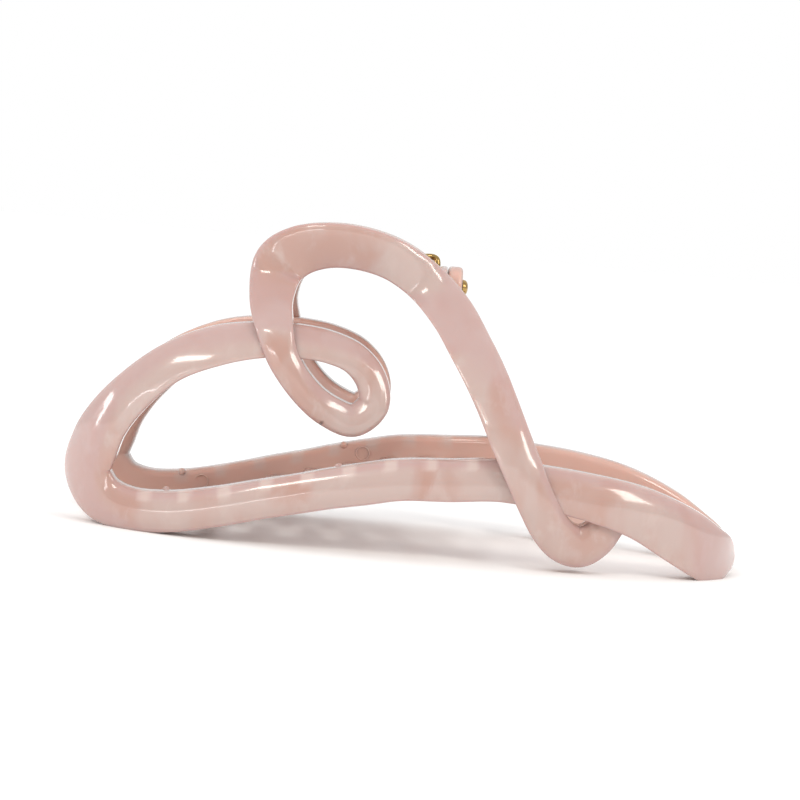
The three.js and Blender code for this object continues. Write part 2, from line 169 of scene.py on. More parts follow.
def rose_resin():
    """Cloudy resin, with painted shade on the sides that face inward and on the shoulders, and painted light
    shining through where the resin is thin.
    """
    made, tree, shader = new_material("rose_resin")
    where = tree.nodes.new("ShaderNodeTexCoord").outputs["Object"]
    stretched = node(tree, "ShaderNodeMapping", {"Vector": where, "Scale": (1.0, 0.8, 0.62)})
    clouds = node(tree, "ShaderNodeGroup", node_tree=resin_clouds, links={
        "Vector": stretched.outputs[0], "Milky": MILKY, "Cloud": CLOUD, "Pale": PALE,
        "Cloud Scale": 95.0})
    # Painted shade: faces that look inward are mixed towards the deeper salmon.
    shaded_inward = colour_mix(tree, stored(tree, "painted_inward_shade"), clouds.outputs["Color"], INWARD_SHADE)
    # Painted shade: the shoulder bands are mixed towards a darker mauve.
    shaded_shoulders = colour_mix(tree, stored(tree, "shoulder"), shaded_inward, SHOULDER_SHADE)
    # Painted light: the windows between the tooth roots are mixed towards the paler tone of light shining
    # through thin resin.
    thin = colour_mix(tree, stored(tree, "painted_shine_through"), shaded_shoulders, SHINE_THROUGH_PALE)
    polish = node(tree, "ShaderNodeGroup", node_tree=hand_polish, links={
        "Vector": where, "Wave Scale": 260.0, "Base Roughness": 0.16, "Scuffing": 0.10})
    bump = node(tree, "ShaderNodeBump", {"Height": polish.outputs["Height"],
                                         "Strength": 0.25, "Distance": 0.0002})
    tree.links.new(thin, shader.inputs["Base Color"])
    tree.links.new(polish.outputs["Roughness"], shader.inputs["Roughness"])
    tree.links.new(bump.outputs[0], shader.inputs["Normal"])
    shader.inputs["IOR"].default_value = 1.49
    shader.inputs["Subsurface Weight"].default_value = 0.35
    shader.inputs["Subsurface Radius"].default_value = (1.0, 0.5, 0.4)
    shader.inputs["Subsurface Scale"].default_value = 0.0022
    shader.inputs["Coat Weight"].default_value = 0.6
    shader.inputs["Coat Roughness"].default_value = 0.05
    shader.inputs["Coat IOR"].default_value = 1.5
    return made


resin = rose_resin()

# ---------------------------------------------------------------- ribbon of each jaw
# A jaw is one moulded ribbon: it starts at the tail, runs as the toothed bar,
# loops back on the left, curls, loops over the hinge and dives under the tail.
MM = 0.001
CLIP_LENGTH = 111.4 * MM
CLIP_HEIGHT = 52.6 * MM
JAW_DEPTH = 23.8 * MM
HANDLE_FLARE = 4.6 * MM
RIBBON_WIDTH = 6.8 * MM
RIBBON_THICKNESS = 5.6 * MM
FACE_CROWN = 0.22 * MM
BACK_EDGE = 1.1 * MM
SHOULDER_FALL = 0.8  # how far the shoulder drops, over its width
SHOULDER_ARC = 55  # degrees that the shoulder's curve turns through
CROSSING_LIFT = 1.0 * MM
JAW_GAP = 0.4 * MM
EAR_RADIUS = 3.3 * MM
EAR_CLEARANCE = 0.35 * MM
HINGE_X = 0.03
HINGE_LEVEL = 0.824
LEFT_END = -0.51
RIGHT_END = 0.5
PLAN_EXPONENT = 2.6
BULGE = [(-0.10, 0.84), (0.06, 0.94), (0.21, 1.0), (0.32, 1.0), (0.44, 0.91), (0.55, 0.74),
         (0.65, 0.52), (0.72, 0.29), (0.78, 0.1), (HINGE_LEVEL, 0.0)]
FLARE = [(HINGE_LEVEL, 0), (0.89, 0.09), (0.95, 0.39), (1.05, 0.9)]
# length share, height share, width over RIBBON_WIDTH, lift; tail tip first
ROUTE = np.array([
    (0.4963, 0.0295, 1.25, 0), (0.4526, 0.0805, 1.31, 0), (0.4046, 0.1396, 1.37, 0),
    (0.338, 0.2037, 1.22, 0), (0.2662, 0.2398, 1.08, 0), (0.1919, 0.2585, 1, -1),
    (0.1337, 0.2679, 0.97, -1), (0.0614, 0.2564, 0.97, 0), (-0.0087, 0.2446, 0.95, 0),
    (-0.0596, 0.2209, 0.95, 0), (-0.1074, 0.1974, 0.92, 0), (-0.1553, 0.1697, 0.9, 0),
    (-0.2031, 0.1438, 0.9, 0), (-0.2637, 0.1073, 0.92, 0), (-0.336, 0.0728, 0.96, 0),
    (-0.397, 0.0647, 1.03, 0), (-0.4399, 0.0896, 1.18, 0), (-0.4637, 0.161, 1.24, 0),
    (-0.4552, 0.2481, 1.25, 0), (-0.4398, 0.3228, 1.14, 0), (-0.407, 0.417, 1.03, 0),
    (-0.3527, 0.5226, 0.94, 0), (-0.2876, 0.5879, 0.93, -0.3), (-0.2273, 0.6159, 0.83, -1),
    (-0.1729, 0.6219, 0.78, -2), (-0.1263, 0.6115, 0.74, -3.5), (-0.0885, 0.581, 0.72, -5),
    (-0.0629, 0.5208, 0.74, -6.5), (-0.0571, 0.4491, 0.76, -7.5), (-0.0832, 0.3963, 0.76, -7.5),
    (-0.12, 0.4177, 0.74, -6.5), (-0.1551, 0.472, 0.7, -4), (-0.1904, 0.565, 0.74, -1),
    (-0.208, 0.6585, 0.88, 1), (-0.2189, 0.7498, 1.06, 0.3), (-0.2120, 0.8480, 1.27, 0),
    (-0.1840, 0.8960, 1.2, 0), (-0.1415, 0.9201, 1.08, 0), (-0.0931, 0.9186, 1.03, 0),
    (-0.0434, 0.8919, 1.01, 0), (0.0035, 0.8332, 1.02, 0), (0.0443, 0.7496, 1.05, 0),
    (0.0748, 0.656, 1.04, 0), (0.0992, 0.5737, 1.02, 0), (0.1212, 0.4868, 0.98, 0.2),
    (0.1423, 0.395, 0.97, 1), (0.164, 0.3073, 0.94, 1), (0.1857, 0.2209, 0.92, 1),
    (0.2127, 0.135, 0.95, 0.3), (0.234, 0.0977, 0.98, -0.2), (0.2573, 0.0879, 0.98, -0.7),
    (0.2786, 0.1133, 0.9, -1), (0.2965, 0.1652, 0.81, -1.3)])
# route point, shoulder on the outer side of the bends, shoulder on their inner side (mm)
SHOULDERS = np.array([
    (0, 0.8, 0.9), (1, 0.7, 1.5), (2, 0.6, 2.3), (3, 0.6, 2.9), (5, 0.6, 3.0), (8, 0.6, 2.6), (12, 0.7, 2.6),
    (14, 0.9, 2.6), (16, 2.2, 2.4), (18, 2.8, 2.3), (20, 2.0, 1.6), (22, 1.3, 1.0), (25, 1.1, 1.1),
    (27, 1.1, 1.5), (29, 1.2, 1.4), (31, 1.5, 1.0), (34, 1.6, 0.5), (37, 1.7, 0.35), (43, 1.5, 0.4),
    (45, 1.8, 0.7), (48, 1.7, 0.8), (52, 1.0, 1.2)])
STRANDS = [(0, 30), (30, 43), (43, 52)]
SECTIONS_PER_POINT = 10
TAIL_ROUNDING = 0.95  # route points over which the tail closes
TAIL_STATIONS = range(2, 90, 8)  # degrees round the closing tail
END_FALL, END_SHOULDER = 0.75 * MM, 0.17  # the face drops this much over these first route points
DIRECTION_SPAN = 0.45  # route points to each side, so that the inner edges of the bends stay round
SLOPE_STEP = 1.5 * MM
STEEPEST = 1.2

hinge_low, hinge_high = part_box("hinge_pin")
hinge_x = HINGE_X * CLIP_LENGTH
hinge_z = (hinge_low.z + hinge_high.z) / 2
foot = hinge_z - HINGE_LEVEL * CLIP_HEIGHT  # height of the drawing's base line in the frame
hinge_depth = EAR_RADIUS + EAR_CLEARANCE + RIBBON_THICKNESS


def shell_depth(x, z):
    """Outer depth of the bowed shell that the jaw lies on; z is measured from the base line."""
    level = z / CLIP_HEIGHT
    bulge = (JAW_DEPTH - hinge_depth) * np.interp(level, *zip(*BULGE))
    flare = HANDLE_FLARE * np.interp(level, *zip(*FLARE))
    profile = hinge_depth + (bulge if level < HINGE_LEVEL else flare)
    end = (LEFT_END if x < 0 else RIGHT_END) * CLIP_LENGTH
    along = min(1.0, abs(x / end))
    return profile * (1 - along ** PLAN_EXPONENT) ** (1 / PLAN_EXPONENT)


def ribbon_depth(x, z):
    """The shell's depth, or at the tail the least that leaves room for the ribbon."""
    return max(shell_depth(x, z), JAW_GAP / 2 + RIBBON_THICKNESS)


def through(knots, place, centripetal):
    """Smooth curve through the knots at a place counted in knots."""
    knots = np.vstack([2 * knots[0] - knots[1], knots, 2 * knots[-1] - knots[-2]])
    i = min(int(place), len(knots) - 4)
    a, b, c, d = knots[i:i + 4]
    t = place - i
    if centripetal:
        e, f, g = (max(np.linalg.norm(q - p) ** 0.5, 1e-9) for p, q in ((a, b), (b, c), (c, d)))
        start = ((b - a) / e - (c - a) / (e + f) + (c - b) / f) * f
        end = ((c - b) / f - (d - b) / (f + g) + (d - c) / g) * f
    else:
        start, end = (c - a) / 2, (d - b) / 2
    return (b + start * t + (3 * (c - b) - 2 * start - end) * t ** 2
            + (2 * (b - c) + start + end) * t ** 3)


centres = []
for share, level, _, lift in ROUTE:
    x, z = share * CLIP_LENGTH, level * CLIP_HEIGHT
    middle = ribbon_depth(x, z) - RIBBON_THICKNESS / 2 + lift * CROSSING_LIFT
    centres.append((x, -middle, z + foot))
centres = np.array(centres)


def ribbon_at(place):
    """Centre, directions, width and shoulders of the ribbon at a place on its route.

    The mould opens along Y: the ribbon's sides are square to Y, and only its face and
    back follow the slope of the shell.
    """
    last = len(ROUTE) - 1
    place = min(max(place, 0.0), last)
    centre = through(centres, place, True)
    along = (through(centres, min(last, place + DIRECTION_SPAN), True)
             - through(centres, max(0, place - DIRECTION_SPAN), True))
    along[1] = 0
    along /= np.linalg.norm(along)
    across = np.array([along[2], 0, -along[0]])
    beside = [ribbon_depth(centre[0] + step * across[0], centre[2] - foot + step * across[2])
              for step in (-SLOPE_STEP, SLOPE_STEP)]
    across[1] = -np.clip((beside[1] - beside[0]) / (2 * SLOPE_STEP), -STEEPEST, STEEPEST)
    width = float(through(ROUTE[:, 2:3], place, False)[0]) * RIBBON_WIDTH
    outer = float(np.interp(place, SHOULDERS[:, 0], SHOULDERS[:, 1])) * MM
    inner = float(np.interp(place, SHOULDERS[:, 0], SHOULDERS[:, 2])) * MM
    return {"centre": centre, "across": across, "out": np.array([0, -1, 0]), "ribbon_width": width,
            "outer_shoulder": outer, "inner_shoulder": inner, "end_fall": 0.0}


def section_points():
    """The ribbon's section as shares of its sizes, back middle first, once round."""
    half = []
    for f in (0.0, 0.35, 0.7, 0.9):
        half.append({"spread": f, "rise": -1.0, "nip": (-f, 0.0)})
    for degrees in (0, 22, 45, 67, 90):
        a = math.radians(degrees)
        half.append({"spread": 1.0, "rise": -1.0, "nip": (math.sin(a) - 1, 1 - math.cos(a))})
    for f in (0.3, 0.6, 0.85):
        half.append({"spread": 1.0, "rise": 2 * f - 1, "nip": (0.0, 1 - f), "crown": f, "fall": f})
    steep = math.radians(SHOULDER_ARC)
    for f in (0.0, 0.12, 0.25, 0.4, 0.55, 0.7, 0.85):
        a = f * steep
        inward = (1 - math.cos(a)) / (1 - math.cos(steep))
        half.append({"spread": 1.0, "rise": 1.0, "crown": 1.0, "tuck": inward,
                     "fall": 1 - math.sin(a) / math.sin(steep)})
    points = list(half)
    for f in (1.0, 0.84, 0.6, 0.4, 0.2, 0.0, -0.2, -0.4, -0.6, -0.84, -1.0):
        points.append({"face": f})
    for p in reversed(half[1:]):
        points.append({**p, "left": True})
    rows = []
    for p in points:
        if "face" in p:
            f = p["face"]
            ease = 0.012 if abs(f) == 1 else 0.0
            rows.append(((f, 1.0, f * f), ((1 - f) / 2, -(1 + f) / 2, 0), (0, 0, 0), (ease, ease, 0)))
            continue
        side = -1 if p.get("left") else 1
        tuck, fall = p.get("tuck", 0), p.get("fall", 0)
        nip = p.get("nip", (0, 0))
        tucks = (tuck, 0, 0) if side < 0 else (0, -tuck, 0)
        falls = (fall, 0, 0) if side < 0 else (0, fall, 0)
        rows.append(((side * p["spread"], p["rise"], p.get("crown", 0)), tucks,
                     (side * nip[0], nip[1], 0), falls))
    return rows


def line_mesh(name, points, closed, attributes):
    """A line of points, with what each point carries."""
    mesh = bpy.data.meshes.new(name)
    edges = [(i, i + 1) for i in range(len(points) - 1)]
    if closed:
        edges.append((len(points) - 1, 0))
    mesh.from_pydata([tuple(p) for p in points], edges, [])
    for key, values in attributes.items():
        values = np.array(values, np.float32)
        kind, field = ("FLOAT", "value") if values.ndim == 1 else ("FLOAT_VECTOR", "vector")
        mesh.attributes.new(key, kind, "POINT").data.foreach_set(field, values.ravel())
    return mesh


def put(name, mesh):
    """Stands the mesh in the scene under this name."""
    made = bpy.data.objects.new(name, mesh)
    bpy.context.scene.collection.objects.link(made)
    return made


def grown(name, mesh, tree, values):
    """Runs a geometry tree on a mesh with these named values; returns the plain mesh."""
    seed = put(name, mesh)
    modifier = seed.modifiers.new("grow", "NODES")
    modifier.node_group = tree
    for item in tree.interface.items_tree:
        if item.in_out == "INPUT" and item.name in values:
            modifier[item.identifier] = values[item.name]
    bpy.context.view_layer.update()
    result = bpy.data.meshes.new_from_object(seed.evaluated_get(bpy.context.evaluated_depsgraph_get()))
    result.name = name
    bpy.data.objects.remove(seed)
    return result


def named(tree, name, kind="FLOAT_VECTOR"):
    """What each point of the line carries under this name."""
    return node(tree, "GeometryNodeInputNamedAttribute", {"Name": name}, data_type=kind).outputs["Attribute"]


def added(tree, first, second):
    return node(tree, "ShaderNodeVectorMath", {0: first, 1: second}, operation="ADD").outputs[0]


def scaled(tree, vector, factor):
    return node(tree, "ShaderNodeVectorMath", {0: vector, "Scale": factor}, operation="SCALE").outputs[0]


def parts_of(tree, vector):
    return node(tree, "ShaderNodeSeparateXYZ", {0: vector}).outputs


def finished(tree, geometry, given, out):
    """Ends a geometry tree: real faces, with the given material."""
    real = node(tree, "GeometryNodeRealizeInstances", {0: geometry}).outputs[0]
    done = node(tree, "GeometryNodeSetMaterial", {"Geometry": real, "Material": given.outputs["Material"]})
    tree.links.new(done.outputs[0], out.inputs[0])


def ribbon_tree():
    """Sweeps the section along the ribbon's route."""
    tree, given, out = group_tree(
        "swept_ribbon", "GeometryNodeTree",
        [("Geometry", "NodeSocketGeometry", None), ("Section", "NodeSocketObject", None),
         ("Thickness", "NodeSocketFloat", 0.005), ("Face Crown", "NodeSocketFloat", 0.0),
         ("Back Edge", "NodeSocketFloat", 0.0), ("Shoulder Fall", "NodeSocketFloat", 1.0),
         ("Material", "NodeSocketMaterial", None)],
        [("Geometry", "NodeSocketGeometry")])
    rail = node(tree, "GeometryNodeMeshToCurve", {0: given.outputs["Geometry"]}).outputs[0]
    section = node(tree, "GeometryNodeObjectInfo", {0: given.outputs["Section"]}).outputs["Geometry"]
    ring = node(tree, "GeometryNodeMeshToCurve", {0: section}).outputs[0]
    skin = node(tree, "GeometryNodeCurveToMesh",
                {"Curve": rail, "Profile Curve": ring, "Fill Caps": True}).outputs[0]
    spread = parts_of(tree, named(tree, "spread"))
    tuck = parts_of(tree, named(tree, "tuck"))
    nip = parts_of(tree, named(tree, "nip"))
    fall = parts_of(tree, named(tree, "fall"))
    outer = named(tree, "outer_shoulder", "FLOAT")
    inner = named(tree, "inner_shoulder", "FLOAT")
    half = math_node(tree, "MULTIPLY", named(tree, "ribbon_width", "FLOAT"), 0.5)
    limit = math_node(tree, "MULTIPLY", half, 0.8)
    outer = math_node(tree, "MINIMUM", outer, limit)
    inner = math_node(tree, "MINIMUM", inner, limit)
    edge = math_node(tree, "MINIMUM", given.outputs["Back Edge"], math_node(tree, "MULTIPLY", half, 0.3))
    u = math_node(tree, "MULTIPLY", spread[0], half)
    u = math_node(tree, "MULTIPLY_ADD", tuck[0], outer, u)
    u = math_node(tree, "MULTIPLY_ADD", tuck[1], inner, u)
    u = math_node(tree, "MULTIPLY_ADD", nip[0], edge, u)
    sunk = math_node(tree, "MULTIPLY_ADD", fall[0], outer, math_node(tree, "MULTIPLY", fall[1], inner))
    v = math_node(tree, "MULTIPLY", spread[1], math_node(tree, "MULTIPLY", given.outputs["Thickness"], 0.5))
    v = math_node(tree, "SUBTRACT", v, math_node(tree, "MULTIPLY", spread[2], given.outputs["Face Crown"]))
    v = math_node(tree, "SUBTRACT", v, math_node(tree, "MULTIPLY", sunk, given.outputs["Shoulder Fall"]))
    v = math_node(tree, "MULTIPLY_ADD", nip[1], edge, v)
    front_share = math_node(tree, "MULTIPLY_ADD", spread[1], 0.5, 0.5)
    end_fall = named(tree, "end_fall", "FLOAT")
    v = math_node(tree, "SUBTRACT", v, math_node(tree, "MULTIPLY", front_share, end_fall))
    place = added(tree, scaled(tree, named(tree, "across"), u), scaled(tree, named(tree, "out"), v))
    place = added(tree, named(tree, "centre"), place)
    moved = node(tree, "GeometryNodeSetPosition", {"Geometry": skin, "Position": place}).outputs[0]
    finished(tree, moved, given, out)
    return tree


rows = section_points()
section_line = [(spread * 0.01, rise * 0.01, 0) for (spread, rise, _), *_ in rows]
section = put("ribbon_section", line_mesh("ribbon_section", section_line, True, {
    "spread": [r[0] for r in rows], "tuck": [r[1] for r in rows],
    "nip": [r[2] for r in rows], "fall": [r[3] for r in rows]}))
swept_ribbon = ribbon_tree()


def outward(mesh):
    """Turns the mesh right side out if it encloses a negative volume."""
    work = bmesh.new()
    work.from_mesh(mesh)
    bmesh.ops.remove_doubles(work, verts=work.verts, dist=1e-8)
    if work.calc_volume(signed=True) < 0:
        bmesh.ops.reverse_faces(work, faces=work.faces)
    work.to_mesh(mesh)
    work.free()
    return mesh


def strand(number, first, last):
    """The ribbon from one route point to another; the first strand closes round at the tail."""
    places = list(np.arange(first * SECTIONS_PER_POINT, last * SECTIONS_PER_POINT + 1) / SECTIONS_PER_POINT)
    if first == 0:
        closing = [TAIL_ROUNDING * (1 - math.cos(math.radians(a))) for a in TAIL_STATIONS]
        places = closing + [p for p in places if p > TAIL_ROUNDING]
    stations = []
    for p in places:
        at = ribbon_at(p)
        if first == 0 and p < TAIL_ROUNDING:
            at["ribbon_width"] *= math.sqrt(1 - (1 - p / TAIL_ROUNDING) ** 2)
            at["end_fall"] = END_FALL * max(0.0, 1 - p / END_SHOULDER) ** 2
        stations.append(at)
    keys = stations[0].keys()
    line = line_mesh(f"strand_{number}", [s["centre"] for s in stations], False,
                     {k: [s[k] for s in stations] for k in keys})
    return outward(grown(f"strand_{number}", line, swept_ribbon, {
        "Section": section, "Thickness": RIBBON_THICKNESS, "Face Crown": FACE_CROWN,
        "Back Edge": BACK_EDGE, "Shoulder Fall": SHOULDER_FALL, "Material": resin}))


strands = [strand(i, a, b) for i, (a, b) in enumerate(STRANDS)]
bpy.data.objects.remove(section)

# ---------------------------------------------------------------- teeth
# Nine tapering teeth on the front bar and eight on the rear one reach past the
# middle and stand between each other; they are moulded with the bar.
BAR_POINTS = (5.0, 16.0)  # the bar lies between these points of the route
TOOTH_COUNT = 9
TOOTH_PITCH = 6.45 * MM
FIRST_TOOTH = -0.343 * CLIP_LENGTH
TOOTH_ROOT = 4.1 * MM
TOOTH_TIP = 2.1 * MM
TOOTH_HEIGHT = 2.8 * MM
TOOTH_TIP_HEIGHT = 1.8 * MM
TOOTH_OVERLAP = 1.4 * MM
TOOTH_DROP = 0.9 * MM
TOOTH_LIFT = 0.1 * MM
TOOTH_SQUARENESS = 0.62  # 1 is a round section, 0 a square one


def teeth_tree():
    """One tapering, round-ended tooth on each given root point."""
    tree, given, out = group_tree(
        "tooth_row", "GeometryNodeTree",
        [("Geometry", "NodeSocketGeometry", None), ("Root Width", "NodeSocketFloat", 0.004),
         ("Tip Width", "NodeSocketFloat", 0.002), ("Root Height", "NodeSocketFloat", 0.003),
         ("Tip Height", "NodeSocketFloat", 0.002), ("Drop", "NodeSocketFloat", 0.001),
         ("Material", "NodeSocketMaterial", None)],
        [("Geometry", "NodeSocketGeometry")])
    blank = node(tree, "GeometryNodeMeshCylinder", {
        "Vertices": 32, "Side Segments": 30, "Fill Segments": 3, "Radius": 1.0, "Depth": 1.0})
    position = tree.nodes.new("GeometryNodeInputPosition").outputs[0]
    kept = node(tree, "GeometryNodeStoreNamedAttribute",
                {"Geometry": blank.outputs["Mesh"], "Name": "blank", "Value": position},
                data_type="FLOAT_VECTOR", domain="POINT").outputs[0]
    roots = node(tree, "GeometryNodeMeshToPoints", {"Mesh": given.outputs["Geometry"]}).outputs[0]
    many = node(tree, "GeometryNodeInstanceOnPoints", {"Points": roots, "Instance": kept}).outputs[0]
    real = node(tree, "GeometryNodeRealizeInstances", {0: many}).outputs[0]
    x, y, z = parts_of(tree, named(tree, "blank"))[:3]
    part = math_node(tree, "ADD", z, 0.5)

    def squared(value):
        """Pushes the round blank out towards a square section."""
        return math_node(tree, "MULTIPLY", math_node(tree, "SIGN", value),
                         math_node(tree, "POWER", math_node(tree, "ABSOLUTE", value), TOOTH_SQUARENESS))

    near_tip = node(tree, "ShaderNodeMapRange", {"Value": part, "From Min": 0.88, "From Max": 1.0,
                                                 "To Max": 0.97}).outputs[0]
    full = math_node(tree, "SQRT", math_node(tree, "SUBTRACT", 1.0, math_node(tree, "POWER", near_tip, 2.0)))

    def tapered(root, tip):
        """Half the size here, between the root's and the tip's, closing at the tip."""
        size = node(tree, "ShaderNodeMapRange", {"Value": part, "To Min": given.outputs[root],
                                                 "To Max": given.outputs[tip]}).outputs[0]
        return math_node(tree, "MULTIPLY", size, math_node(tree, "MULTIPLY", full, 0.5))

    wide = tapered("Root Width", "Tip Width")
    tall = tapered("Root Height", "Tip Height")
    sag = math_node(tree, "MULTIPLY", math_node(tree, "POWER", part, 2.0), given.outputs["Drop"])
    offset = node(tree, "ShaderNodeCombineXYZ", {
        0: math_node(tree, "MULTIPLY", squared(x), wide),
        1: math_node(tree, "MULTIPLY", part, named(tree, "reach", "FLOAT")),
        2: math_node(tree, "SUBTRACT", math_node(tree, "MULTIPLY", squared(y), tall), sag)}).outputs[0]
    place = added(tree, named(tree, "root"), offset)
    moved = node(tree, "GeometryNodeSetPosition", {"Geometry": real, "Position": place}).outputs[0]
    finished(tree, moved, given, out)
    return tree


tooth_row = teeth_tree()


def on_bar(x):
    """The ribbon where the bar passes this x."""
    low, high = BAR_POINTS
    for _ in range(40):
        middle = (low + high) / 2
        if ribbon_at(middle)["centre"][0] > x:
            low = middle
        else:
            high = middle
    return ribbon_at(low)


def teeth(name, count, first):
    """A row of teeth along the bar, each reaching a little past the middle."""
    roots, reaches = [], []
    for i in range(count):
        bar = on_bar(first + i * TOOTH_PITCH)
        x, y, z = bar["centre"]
        low = z - bar["ribbon_width"] / 2
        roots.append((first + i * TOOTH_PITCH, y, low + TOOTH_HEIGHT / 2 + TOOTH_LIFT))
        reaches.append(TOOTH_OVERLAP - y)
    line = line_mesh(name, roots, False, {"root": roots, "reach": reaches})
    return outward(grown(name, line, tooth_row, {
        "Root Width": TOOTH_ROOT, "Tip Width": TOOTH_TIP, "Root Height": TOOTH_HEIGHT,
        "Tip Height": TOOTH_TIP_HEIGHT, "Drop": TOOTH_DROP, "Material": resin}))


# ---------------------------------------------------------------- hinge ears
# Each jaw has a thin ear left of the spring and a thicker one right of it; they
# stand across the pin, are bored for it and run back into the ribbon.
PIN_RADIUS = 0.9 * MM
PIN_CLEARANCE = 0.06 * MM
PIN_SEAT = 0.02 * MM
WIRE_RADIUS = 0.5 * MM
COIL_TURNS = 1.5
SIDE_GAP = 0.1 * MM
SMALL_EAR = 0.8 * MM
FRONT_EAR = 1.1 * MM
REAR_EAR = 2.5 * MM
SMALL_EAR_RADIUS = 2.05 * MM
EAR_EDGE = 0.27  # rounding of the rims, over the ear's thickness
EAR_BITE = 0.62  # how far the ear runs into the ribbon, over the ribbon's thickness
EAR_DROP = 3.1 * MM
EAR_SIDES = 32

coil_width = (COIL_TURNS * 2.08 + 2) * WIRE_RADIUS
coil_left = hinge_x - 3.3 * MM
coil_right = coil_left + coil_width
front_left = (coil_left - SIDE_GAP - SMALL_EAR, coil_left - SIDE_GAP)
rear_left = (front_left[0] - SIDE_GAP - SMALL_EAR, front_left[0] - SIDE_GAP)
front_right = (coil_right + SIDE_GAP, coil_right + SIDE_GAP + FRONT_EAR)
rear_right = (front_right[1] + SIDE_GAP, front_right[1] + SIDE_GAP + REAR_EAR)


def ear(x0, x1, radius):
    """An ear of the front jaw as a prism with rounded edges."""
    back = shell_depth((x0 + x1) / 2, hinge_z - foot) - RIBBON_THICKNESS * EAR_BITE
    drop = min(radius, EAR_DROP)
    outline = [(-back, -drop)]
    for k in range(EAR_SIDES + 1):
        a = -math.pi / 2 + math.pi * k / EAR_SIDES
        outline.append((radius * math.cos(a), radius * math.sin(a)))
    outline += [(-back * 0.55, radius * 0.86), (-back, radius * 0.3)]  # its top slopes into the ribbon
    work = bmesh.new()
    flat = work.faces.new([work.verts.new((x0, y, hinge_z + z)) for y, z in outline])
    turned = bmesh.ops.extrude_face_region(work, geom=[flat])
    grown_verts = [g for g in turned["geom"] if isinstance(g, bmesh.types.BMVert)]
    bmesh.ops.translate(work, verts=grown_verts, vec=(x1 - x0, 0, 0))
    rim = [e for e in work.edges if len({round(v.co.x, 7) for v in e.verts}) == 1]
    bmesh.ops.bevel(work, geom=rim, offset=EAR_EDGE * (x1 - x0), segments=6, profile=0.5, affect="EDGES")
    bmesh.ops.recalc_face_normals(work, faces=work.faces)
    mesh = bpy.data.meshes.new("ear")
    work.to_mesh(mesh)
    work.free()
    mesh.materials.append(resin)
    return outward(mesh)


def turned_rod(name, profile, sides=64):
    """A closed round body about the hinge line from (x, radius) pairs."""
    work = bmesh.new()
    rings = []
    for x, radius in profile:
        if radius < 1e-9:
            rings.append([work.verts.new((x, 0, hinge_z))])
            continue
        turns_round = [2 * math.pi * k / sides for k in range(sides)]
        rings.append([work.verts.new((x, radius * math.cos(a), hinge_z + radius * math.sin(a)))
                      for a in turns_round])
    for a, b in zip(rings, rings[1:]):
        for k in range(sides):
            corners = [a[k % len(a)], a[(k + 1) % len(a)], b[(k + 1) % len(b)], b[k % len(b)]]
            unique = list(dict.fromkeys(corners))
            if len(unique) > 2:
                work.faces.new(unique)
    bmesh.ops.recalc_face_normals(work, faces=work.faces)
    mesh = bpy.data.meshes.new(name)
    work.to_mesh(mesh)
    work.free()
    return outward(mesh)


def box_mesh(name, low, high):
    """A plain block between two corners."""
    work = bmesh.new()
    bmesh.ops.create_cube(work, size=1.0)
    for v in work.verts:
        v.co = Vector([low[i] if v.co[i] < 0 else high[i] for i in range(3)])
    mesh = bpy.data.meshes.new(name)
    work.to_mesh(mesh)
    work.free()
    return outward(mesh)


# ---------------------------------------------------------------- the jaws
# Ribbon, teeth, ears and the mould's small marks are one solid; the pin bore is
# cut through the ears, and the feet are ground level.
PIPS = np.array([-38.3, -10.9, 17.0]) * MM  # along the bar's back edge
PIP_RADIUS = 0.65 * MM
PIP_SINK, PIP_DROP = 0.6, 0.35  # its middle inside the back and below the top, over its radius
EJECTOR_MARKS = np.array([-34.8, -7.5]) * MM  # along the bar's back
EJECTOR_RADIUS = 1.15 * MM
EJECTOR_BEAD = 0.13 * MM
EJECTOR_LIFT = 1.0 * MM  # above the middle of the bar
# The windows are painted light shining through the thin resin between the tooth roots.
WINDOW_WIDTH = 2.0 * MM
WINDOW_HEIGHT = 1.7 * MM
WINDOW_BLUR = 0.3 * MM
WINDOW_STRENGTH = 0.6
# Strength of the painted shade on the shoulders.
SHOULDER_SHADE_STRENGTH = 0.6
BIG = 0.2  # larger than the clip


def pip(x):
    """A small round stub on the back top edge of the bar."""
    bar = on_bar(x)
    work = bmesh.new()
    bmesh.ops.create_uvsphere(work, u_segments=24, v_segments=14, radius=PIP_RADIUS)
    place = (x, bar["centre"][1] + RIBBON_THICKNESS / 2 - PIP_RADIUS * PIP_SINK,
             bar["centre"][2] + bar["ribbon_width"] / 2 - PIP_RADIUS * PIP_DROP)
    bmesh.ops.translate(work, verts=work.verts, vec=place)
    mesh = bpy.data.meshes.new("pip")
    work.to_mesh(mesh)
    work.free()
    return outward(mesh)


def ejector_mark(x):
    """A low ring on the back of the bar."""
    _, y, z = on_bar(x)["centre"]
    around, section_sides = 40, 10
    work = bmesh.new()
    rings = []
    for k in range(around):
        a = 2 * math.pi * k / around
        ring = []
        for j in range(section_sides):
            b = 2 * math.pi * j / section_sides
            reach = EJECTOR_RADIUS + EJECTOR_BEAD * math.cos(b)
            ring.append(work.verts.new((x + reach * math.cos(a),
                                        y + RIBBON_THICKNESS / 2 + EJECTOR_BEAD * math.sin(b),
                                        z + EJECTOR_LIFT + reach * math.sin(a))))
        rings.append(ring)
    for k in range(around):
        here, beyond = rings[k], rings[(k + 1) % around]
        for j in range(section_sides):
            after = (j + 1) % section_sides
            work.faces.new((here[j], here[after], beyond[after], beyond[j]))
    bmesh.ops.recalc_face_normals(work, faces=work.faces)
    mesh = bpy.data.meshes.new("ejector_mark")
    work.to_mesh(mesh)
    work.free()
    return outward(mesh)


def smooth_step(value, low, high):
    """Goes softly from 0 to 1 as the value goes from low to high."""
    t = np.clip((value - low) / (high - low), 0, 1)
    return t * t * (3 - 2 * t)


